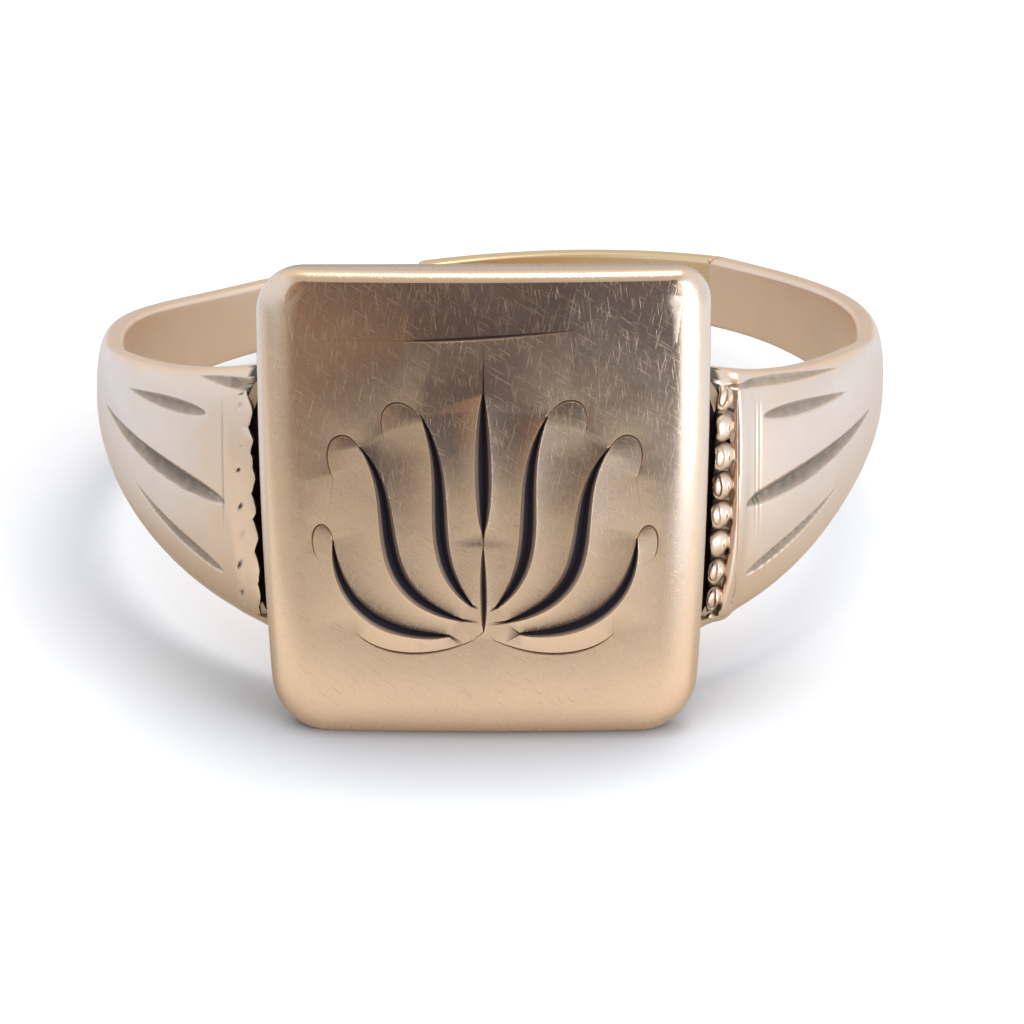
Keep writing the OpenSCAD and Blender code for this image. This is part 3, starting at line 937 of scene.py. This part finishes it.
def white_paper():
    """White card. What the ring mirrors of it has painted light and shade in its colour."""
    paper = bpy.data.materials.new("white_table")
    paper.use_nodes = True
    tree = paper.node_tree
    shader = tree.nodes["Principled BSDF"]
    spot = tree.nodes.new("ShaderNodeSeparateXYZ")
    tree.links.new(tree.nodes.new("ShaderNodeTexCoord").outputs["Object"], spot.inputs[0])
    leftwards = maths(tree, "MULTIPLY", spot.outputs["X"], -1.0)
    forward = maths(tree, "MULTIPLY", spot.outputs["Y"], -1.0)
    # Painted reflection: for all but camera rays the colour is painted dark towards the front,
    # and bright and bluish to both sides
    left = maths(tree, "MULTIPLY", graded(tree, leftwards, 0.010, 0.018),
                 graded(tree, spot.outputs["Y"], -0.012, -0.003))
    side = maths(tree, "MAXIMUM", left, graded(tree, spot.outputs["X"], 0.008, 0.022))
    painted_reflection = blend(tree, side, (0.60, 0.585, 0.53), (0.78, 0.94, 1.16))
    painted_reflection = blend(tree, graded(tree, forward, 0.040, 0.120), painted_reflection, (0.06, 0.06, 0.08))
    # A painted pool of light just before the plate's lower edge
    ahead = maths(tree, "MULTIPLY", graded(tree, forward, 0.0095, 0.0115),
                  maths(tree, "SUBTRACT", 1.0, graded(tree, forward, 0.014, 0.022)))
    painted_reflection = blend(tree, ahead, painted_reflection, (0.92, 0.90, 0.84))
    # The white sheet as the eye sees it, with a painted contact shadow from ambient occlusion
    # close to the ring
    shade = put(tree, "ShaderNodeAmbientOcclusion", Distance=0.005, Color=(1, 1, 1, 1))
    depth = maths(tree, "POWER", shade.outputs["AO"], 1.3)
    sheet = blend(tree, depth, (0.30, 0.30, 0.30), (1.04, 1.04, 1.04))
    seen = tree.nodes.new("ShaderNodeLightPath").outputs["Is Camera Ray"]
    tree.links.new(blend(tree, seen, painted_reflection, sheet), shader.inputs["Base Color"])
    shader.inputs["Roughness"].default_value = 1.0
    shader.inputs["Specular IOR Level"].default_value = 0.0
    return paper


def make_table():
    """A flat sheet under the plate's lower edge and the back of the shank."""
    slope = Vector((0, math.cos(lean), math.sin(lean)))
    side = Vector((1, 0, 0))
    corners = [foot + side * sx * table_side * MM + slope * sy * MM
               for sx, sy in ((-1, -table_front), (1, -table_front),
                              (1, table_back), (-1, table_back))]
    mesh = bpy.data.meshes.new("table")
    mesh.from_pydata(corners, [], [(0, 1, 2, 3)])
    mesh.materials.append(white_paper())
    table = bpy.data.objects.new("table", mesh)
    bpy.context.collection.objects.link(table)


make_table()


def softbox(name, place, aim, size, power, colour=(1, 1, 1)):
    """A rectangular area light, its place, aim and size in mm."""
    light = bpy.data.lights.new(name, "AREA")
    light.shape, light.size, light.size_y = "RECTANGLE", size[0] * MM, size[1] * MM
    light.energy, light.color = power, colour
    box = bpy.data.objects.new(name, light)
    box.location = Vector(place) * MM
    box.rotation_euler = (Vector(aim) - Vector(place)).to_track_quat("-Z", "Y").to_euler()
    bpy.context.collection.objects.link(box)


# A bright panel stands on the table at the right and lights the plate's edge
softbox("right_panel", (48, -51, 9), (5, -11, 4), (42, 44), 0.017, (0.93, 0.98, 1.08))
# A broad light overhead gives the soft shadow in front of the ring
softbox("top_softbox", (30, 8, 170), (0, -2, 0), (80, 80), 0.11)


def tent_colour(tree, gaze):
    """What the ring mirrors: a pale tent with bright sides and a dark opening."""
    opening = put(tree, "ShaderNodeVectorMath", set_operation="DOT_PRODUCT")
    tree.links.new(gaze, opening.inputs[0])
    opening.inputs[1].default_value = (0.10, -0.992, 0.07)
    near = opening.outputs["Value"]
    tent = blend(tree, graded(tree, near, -0.10, 0.26), (0.95, 0.94, 0.92), (0.66, 0.65, 0.63))
    # Daylight comes in from both sides, and little from low behind
    spot = tree.nodes.new("ShaderNodeSeparateXYZ")
    tree.links.new(gaze, spot.inputs[0])
    wide = maths(tree, "ABSOLUTE", spot.outputs["X"])
    tent = blend(tree, graded(tree, wide, 0.45, 0.80), tent, (0.92, 1.08, 1.32))
    low = maths(tree, "SUBTRACT", spot.outputs["Y"], maths(tree, "ABSOLUTE", spot.outputs["Z"]))
    low = maths(tree, "SUBTRACT", low, maths(tree, "MULTIPLY", wide, 1.4))
    tent = blend(tree, graded(tree, low, 0.2, 0.6), tent, (0.62, 0.64, 0.66))
    leftwards = maths(tree, "MULTIPLY", spot.outputs["X"], -1.0)
    dark = blend(tree, graded(tree, leftwards, 0.15, 0.20), (0.055, 0.05, 0.07),
                 (0.34, 0.21, 0.13))
    return blend(tree, graded(tree, near, 0.80, 0.91), tent, dark)


def make_world():
    """A light tent, open towards the front, before a white backdrop."""
    world = bpy.data.worlds.new("studio")
    world.use_nodes = True
    tree = world.node_tree
    tree.nodes.clear()
    out = tree.nodes.new("ShaderNodeOutputWorld")
    gaze = tree.nodes.new("ShaderNodeTexCoord").outputs["Generated"]
    tent = tent_colour(tree, gaze)
    seen = tree.nodes.new("ShaderNodeLightPath").outputs["Is Camera Ray"]
    room = put(tree, "ShaderNodeBackground", Strength=1.0)
    tree.links.new(blend(tree, seen, tent, (0.985, 0.985, 0.99)), room.inputs["Color"])
    tree.links.new(room.outputs[0], out.inputs[0])
    bpy.context.scene.world = world


make_world()


# -------------------------------------------------------------------- the camera
# A long lens a fifth of a metre away, a little above the plane of the band. Its
# frame is 26 mm wide at the ring, which stands a little above the middle.
elevation, azimuth, distance = math.radians(17), math.radians(1.0), 210.0
view_width, sensor = 26.0892, 36.0
shift_x, shift_y = 0.02148, -0.12109
camera = bpy.data.objects.new("camera", bpy.data.cameras.new("camera"))
camera.data.sensor_width = sensor
camera.data.lens = sensor * distance / view_width
camera.data.shift_x, camera.data.shift_y = shift_x, shift_y
camera.data.clip_start, camera.data.clip_end = 0.01, 5.0
back = Vector((math.sin(azimuth) * math.cos(elevation),
               -math.cos(azimuth) * math.cos(elevation), math.sin(elevation)))
camera.location = back * distance * MM
camera.rotation_mode = "QUATERNION"
camera.rotation_quaternion = (-back).to_track_quat("-Z", "Y")
bpy.context.collection.objects.link(camera)
bpy.context.scene.camera = camera
bpy.context.scene.view_settings.view_transform = "Standard"
